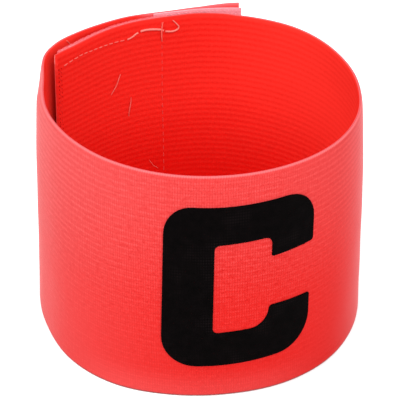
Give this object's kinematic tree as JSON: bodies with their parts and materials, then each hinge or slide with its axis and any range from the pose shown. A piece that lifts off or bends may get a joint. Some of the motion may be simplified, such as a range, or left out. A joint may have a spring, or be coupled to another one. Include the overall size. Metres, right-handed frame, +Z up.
{
  "type": "captain armband",
  "caption": "Wide elastic armband whose ends overlap at the back over hook and loop tapes, with a flat block letter on the front.",
  "frame": {"origin": "middle of the bounding box at the lower edge that the band stands on", "axes": "+Z up along the axis of the loop; the letter faces -Y; +X to the right as the letter is read"},
  "size_m": [0.0984, 0.1022, 0.076],
  "materials": {
    "elastic": "ribbed woven elastic, coral red, soft sheen",
    "loop_tape": "pale pink brushed loop tape, matte",
    "hook_tape": "pale pink hook tape, fine hooks",
    "flock": "black flocked transfer, matte"
  },
  "bodies": {
    "root": {"elastic_band": "elastic", "loop_strip": "loop_tape", "hook_strip": "hook_tape", "letter_mark": "flock"}
  },
  "joints": []
}
